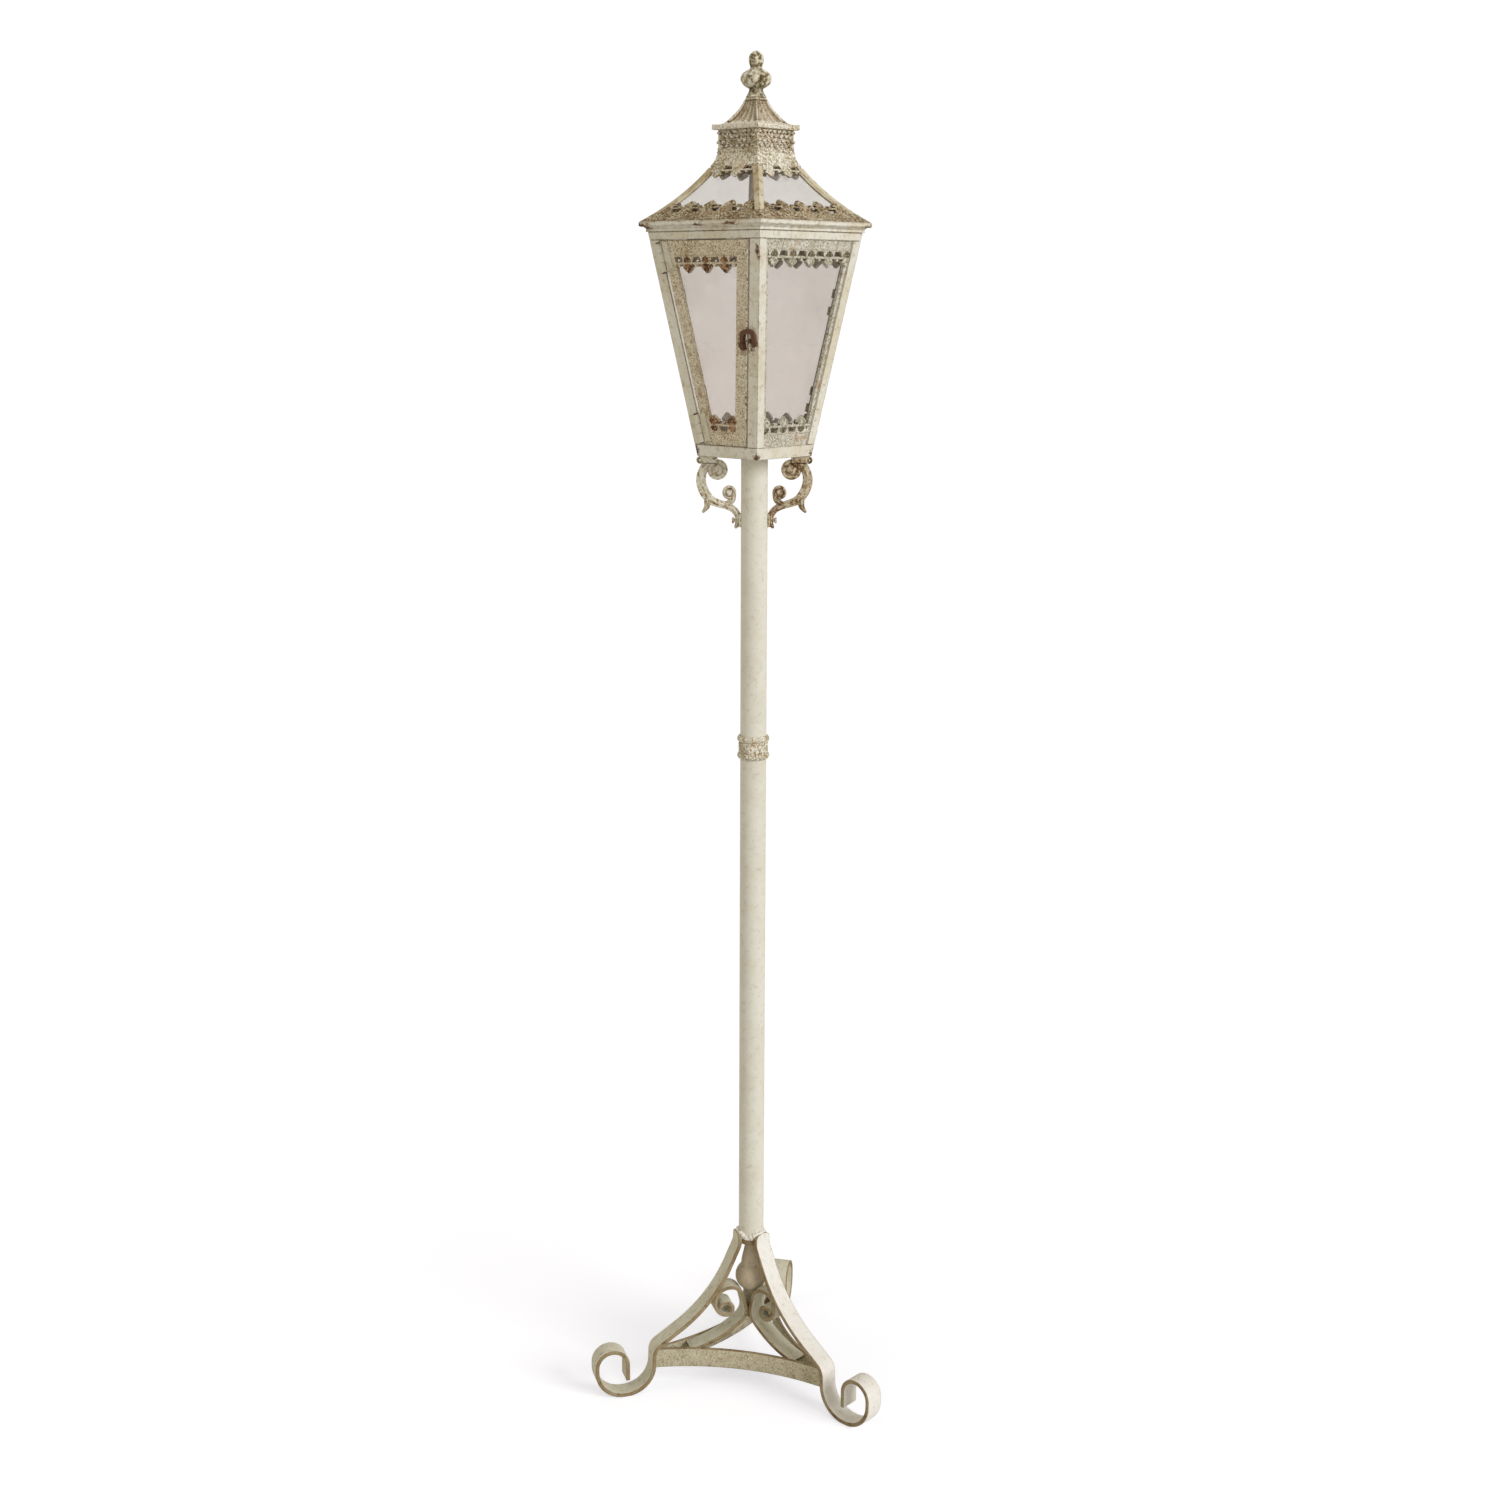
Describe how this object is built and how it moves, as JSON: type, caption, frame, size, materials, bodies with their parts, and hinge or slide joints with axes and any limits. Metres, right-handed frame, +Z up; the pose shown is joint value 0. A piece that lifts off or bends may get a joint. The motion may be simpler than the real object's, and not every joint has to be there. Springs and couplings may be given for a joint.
{
  "type": "lantern floor lamp",
  "caption": "Tall floor lantern: a square tapered glazed lantern with a hinged door and glass roof, on a tube post with a scrolled iron tripod foot, in worn antique white paint.",
  "frame": {"origin": "on the pole's axis, at the floor", "axes": "+Z up along the pole; the door faces -Y and one leg points along +X"},
  "size_m": [0.326, 0.3764, 1.6495],
  "materials": {
    "painted_iron": "worn antique white paint over iron",
    "rusted_casting": "thin white wash over brown rust",
    "dark_iron": "dark rust",
    "bare_steel": "bare, hidden",
    "window_glass": "clear, slightly grey"
  },
  "bodies": {
    "lantern_stand": {"leg_right": "painted_iron", "leg_back": "painted_iron", "leg_front": "painted_iron", "stretcher_back": "painted_iron", "stretcher_left": "painted_iron", "stretcher_front": "painted_iron", "inner_scroll_right": "painted_iron", "inner_scroll_back": "painted_iron", "inner_scroll_front": "painted_iron", "tube_plug": "painted_iron", "pendant": "painted_iron", "pole_lower": "painted_iron", "pole_coupler": "bare_steel", "pole_upper": "painted_iron", "joint_collar": "rusted_casting", "pole_head_plug": "bare_steel", "stud_nut": "bare_steel", "bracket_left": "painted_iron", "bracket_right": "painted_iron", "bracket_screws": "dark_iron", "bottom_rail": "painted_iron", "floor_pan": "painted_iron", "candle_dish": "painted_iron", "post_front_right": "painted_iron", "post_back_right": "painted_iron", "post_back_left": "painted_iron", "post_front_left": "painted_iron", "top_rail": "painted_iron", "cornice": "painted_iron", "side_frame_right": "rusted_casting", "side_frame_back": "rusted_casting", "side_frame_left": "rusted_casting", "pane_right": "window_glass", "pane_back": "window_glass", "pane_left": "window_glass", "pane_clips": "dark_iron", "hinge_leaves_post": "painted_iron", "hinge_pins": "dark_iron", "latch_peg": "dark_iron", "roof_skirt": "rusted_casting", "roof_rib_front_right": "painted_iron", "roof_rib_back_right": "painted_iron", "roof_rib_back_left": "painted_iron", "roof_rib_front_left": "painted_iron", "roof_pane_front": "window_glass", "roof_pane_right": "window_glass", "roof_pane_back": "window_glass", "roof_pane_left": "window_glass", "roof_neck": "rusted_casting", "vent_band": "rusted_casting", "crown": "rusted_casting", "crown_rod": "bare_steel", "finial": "rusted_casting"},
    "door": {"door_frame": "painted_iron", "door_pane": "window_glass", "door_clips": "dark_iron", "hinge_leaves_door": "painted_iron", "latch_rivet": "dark_iron"},
    "latch": {"latch_hook": "dark_iron"}
  },
  "joints": [
    {"name": "door_hinge", "type": "hinge", "parent": "lantern_stand", "child": "door", "pos_m": [-0.05105, -0.07026, 1.315], "axis": [0.1528, 0.1528, -0.9764], "range_deg": [0, 110]},
    {"name": "latch_pivot", "type": "hinge", "parent": "door", "child": "latch", "pos_m": [0.04596, -0.06796, 1.32292], "axis": [0, -0.988, -0.1546], "range_deg": [0, 100]}
  ]
}
